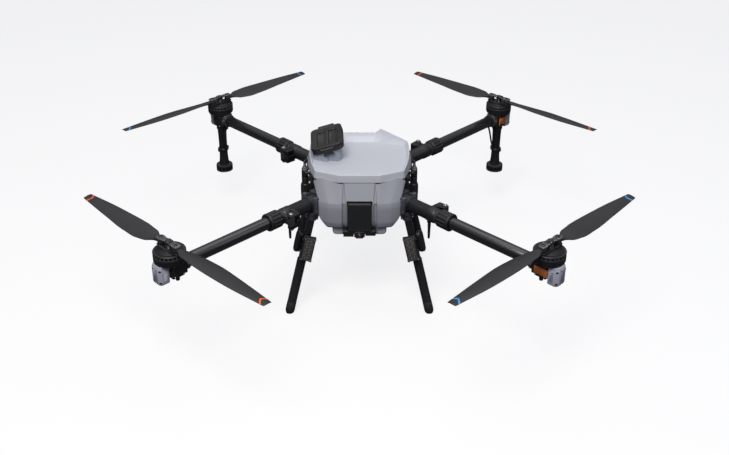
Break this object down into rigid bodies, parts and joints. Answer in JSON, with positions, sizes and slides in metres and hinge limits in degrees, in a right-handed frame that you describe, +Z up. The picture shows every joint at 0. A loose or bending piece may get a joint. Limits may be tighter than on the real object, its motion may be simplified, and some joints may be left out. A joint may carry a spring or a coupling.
{
  "type": "agricultural spray drone",
  "caption": "Folding rotor spray drone with a dished top tank, hinged filler cap, radar nose, splayed legs, folding arms and blades, and spinning disc nozzles under the rear motors.",
  "frame": {"origin": "on the ground, midway between the four motors", "axes": "+X to the right of the picture (the drone's width), the nose faces -Y, +Z up"},
  "size_m": [1.8594, 1.8294, 0.6334],
  "materials": {
    "tank_plastic": "satin moulded polyethylene",
    "shell_plastic": "satin moulded",
    "black_plastic": "fine moulded grain",
    "black_anodised": "black anodised",
    "carbon_tube": "satin carbon fibre",
    "clamp_metal": "bead blasted",
    "blade_nylon": "carbon filled nylon",
    "end_cover_grey": "satin moulded",
    "lamp_panel": "fine grain",
    "battery_case": "fine grain"
  },
  "bodies": {
    "airframe": {"centre_frame": "black_anodised", "arm_socket_FL": "black_anodised", "arm_socket_FR": "black_anodised", "arm_socket_RL": "black_anodised", "arm_socket_RR": "black_anodised", "tank": "tank_plastic", "front_cover": "shell_plastic", "rear_cover": "shell_plastic", "radar_panel": "black_plastic", "camera_bar": "black_plastic", "belly_tray": "shell_plastic", "flight_controller": "black_anodised", "pump_L": "black_plastic", "pump_R": "black_plastic", "leg_FL": "black_anodised", "leg_FR": "black_anodised", "leg_RL": "black_anodised", "leg_RR": "black_anodised", "lamp_FL": "lamp_panel", "lamp_FR": "lamp_panel"},
    "arm_FL": {"arm_tube_FL": "carbon_tube", "motor_mount_FL": "black_plastic", "esc_cover_FL": "end_cover_grey"},
    "nut_FL": {"lock_nut_FL": "black_plastic"},
    "rotor_FL": {"motor_bell_FL": "black_anodised", "prop_clamp_FL": "clamp_metal"},
    "blade_a_FL": {"blade_a_FL": "blade_nylon"},
    "blade_b_FL": {"blade_b_FL": "blade_nylon"},
    "arm_FR": {"arm_tube_FR": "carbon_tube", "motor_mount_FR": "black_plastic", "esc_cover_FR": "end_cover_grey"},
    "nut_FR": {"lock_nut_FR": "black_plastic"},
    "rotor_FR": {"motor_bell_FR": "black_anodised", "prop_clamp_FR": "clamp_metal"},
    "blade_a_FR": {"blade_a_FR": "blade_nylon"},
    "blade_b_FR": {"blade_b_FR": "blade_nylon"},
    "arm_RL": {"arm_tube_RL": "carbon_tube", "motor_mount_RL": "black_plastic", "esc_cover_RL": "end_cover_grey", "nozzle_body_RL": "black_plastic"},
    "nut_RL": {"lock_nut_RL": "black_plastic"},
    "rotor_RL": {"motor_bell_RL": "black_anodised", "prop_clamp_RL": "clamp_metal"},
    "blade_a_RL": {"blade_a_RL": "blade_nylon"},
    "blade_b_RL": {"blade_b_RL": "blade_nylon"},
    "disc_RL": {"spray_disc_RL": "black_plastic"},
    "arm_RR": {"arm_tube_RR": "carbon_tube", "motor_mount_RR": "black_plastic", "esc_cover_RR": "end_cover_grey", "nozzle_body_RR": "black_plastic"},
    "nut_RR": {"lock_nut_RR": "black_plastic"},
    "rotor_RR": {"motor_bell_RR": "black_anodised", "prop_clamp_RR": "clamp_metal"},
    "blade_a_RR": {"blade_a_RR": "blade_nylon"},
    "blade_b_RR": {"blade_b_RR": "blade_nylon"},
    "disc_RR": {"spray_disc_RR": "black_plastic"},
    "cap": {"tank_cap": "black_plastic"},
    "latch": {"cap_latch": "black_plastic"},
    "camera": {"fpv_camera": "black_plastic"},
    "battery": {"battery": "battery_case"}
  },
  "joints": [
    {"name": "arm_fold_FL", "type": "hinge", "parent": "airframe", "child": "arm_FL", "pos_m": [-0.23122, -0.29486, 0.43], "axis": [0, 0, 1], "range_deg": [0, 120]},
    {"name": "nut_slide_FL", "type": "slide", "parent": "arm_FL", "child": "nut_FL", "axis": [-0.7071, -0.7071, 0], "range_m": [0, 0.04]},
    {"name": "rotor_spin_FL", "type": "hinge", "parent": "arm_FL", "child": "rotor_FL", "pos_m": [-0.5866, -0.5866, 0.495], "axis": [0, 0, 1], "continuous": true},
    {"name": "blade_fold_a_FL", "type": "hinge", "parent": "rotor_FL", "child": "blade_a_FL", "pos_m": [-0.61421, -0.56049, 0.511], "axis": [0, 0, 1], "range_deg": [-90, 90]},
    {"name": "blade_fold_b_FL", "type": "hinge", "parent": "rotor_FL", "child": "blade_b_FL", "pos_m": [-0.55899, -0.61271, 0.511], "axis": [0, 0, -1], "range_deg": [-90, 90]},
    {"name": "arm_fold_FR", "type": "hinge", "parent": "airframe", "child": "arm_FR", "pos_m": [0.29486, -0.23122, 0.43], "axis": [0, 0, 1], "range_deg": [0, 120]},
    {"name": "nut_slide_FR", "type": "slide", "parent": "arm_FR", "child": "nut_FR", "axis": [0.7071, -0.7071, 0], "range_m": [0, 0.04]},
    {"name": "rotor_spin_FR", "type": "hinge", "parent": "arm_FR", "child": "rotor_FR", "pos_m": [0.5866, -0.5866, 0.495], "axis": [0, 0, 1], "continuous": true},
    {"name": "blade_fold_a_FR", "type": "hinge", "parent": "rotor_FR", "child": "blade_a_FR", "pos_m": [0.61421, -0.56049, 0.511], "axis": [0, 0, 1], "range_deg": [-90, 90]},
    {"name": "blade_fold_b_FR", "type": "hinge", "parent": "rotor_FR", "child": "blade_b_FR", "pos_m": [0.55899, -0.61271, 0.511], "axis": [0, 0, -1], "range_deg": [-90, 90]},
    {"name": "arm_fold_RL", "type": "hinge", "parent": "airframe", "child": "arm_RL", "pos_m": [-0.29486, 0.23122, 0.43], "axis": [0, 0, 1], "range_deg": [0, 120]},
    {"name": "nut_slide_RL", "type": "slide", "parent": "arm_RL", "child": "nut_RL", "axis": [-0.7071, 0.7071, 0], "range_m": [0, 0.04]},
    {"name": "rotor_spin_RL", "type": "hinge", "parent": "arm_RL", "child": "rotor_RL", "pos_m": [-0.5866, 0.5866, 0.495], "axis": [0, 0, 1], "continuous": true},
    {"name": "blade_fold_a_RL", "type": "hinge", "parent": "rotor_RL", "child": "blade_a_RL", "pos_m": [-0.55899, 0.61271, 0.511], "axis": [0, 0, 1], "range_deg": [-90, 90]},
    {"name": "blade_fold_b_RL", "type": "hinge", "parent": "rotor_RL", "child": "blade_b_RL", "pos_m": [-0.61421, 0.56049, 0.511], "axis": [0, 0, -1], "range_deg": [-90, 90]},
    {"name": "disc_spin_RL", "type": "hinge", "parent": "arm_RL", "child": "disc_RL", "pos_m": [-0.5866, 0.5866, 0.2131], "axis": [0, 0, 1], "continuous": true},
    {"name": "arm_fold_RR", "type": "hinge", "parent": "airframe", "child": "arm_RR", "pos_m": [0.23122, 0.29486, 0.43], "axis": [0, 0, 1], "range_deg": [0, 120]},
    {"name": "nut_slide_RR", "type": "slide", "parent": "arm_RR", "child": "nut_RR", "axis": [0.7071, 0.7071, 0], "range_m": [0, 0.04]},
    {"name": "rotor_spin_RR", "type": "hinge", "parent": "arm_RR", "child": "rotor_RR", "pos_m": [0.5866, 0.5866, 0.495], "axis": [0, 0, 1], "continuous": true},
    {"name": "blade_fold_a_RR", "type": "hinge", "parent": "rotor_RR", "child": "blade_a_RR", "pos_m": [0.55899, 0.61271, 0.511], "axis": [0, 0, 1], "range_deg": [-90, 90]},
    {"name": "blade_fold_b_RR", "type": "hinge", "parent": "rotor_RR", "child": "blade_b_RR", "pos_m": [0.61421, 0.56049, 0.511], "axis": [0, 0, -1], "range_deg": [-90, 90]},
    {"name": "disc_spin_RR", "type": "hinge", "parent": "arm_RR", "child": "disc_RR", "pos_m": [0.5866, 0.5866, 0.2131], "axis": [0, 0, 1], "continuous": true},
    {"name": "cap_hinge", "type": "hinge", "parent": "airframe", "child": "cap", "pos_m": [-0.11848, 0.0764, 0.60027], "axis": [-0.9563, 0, -0.2924], "range_deg": [0, 110]},
    {"name": "latch_hinge", "type": "hinge", "parent": "cap", "child": "latch", "pos_m": [-0.11466, -0.06164, 0.58776], "axis": [-0.9563, 0, -0.2924], "range_deg": [0, 100]},
    {"name": "camera_tilt", "type": "hinge", "parent": "airframe", "child": "camera", "pos_m": [0, -0.203, 0.327], "axis": [1, 0, 0], "range_deg": [-15, 60]},
    {"name": "battery_slide", "type": "slide", "parent": "airframe", "child": "battery", "axis": [0, 1, 0], "range_m": [0, 0.15]}
  ]
}
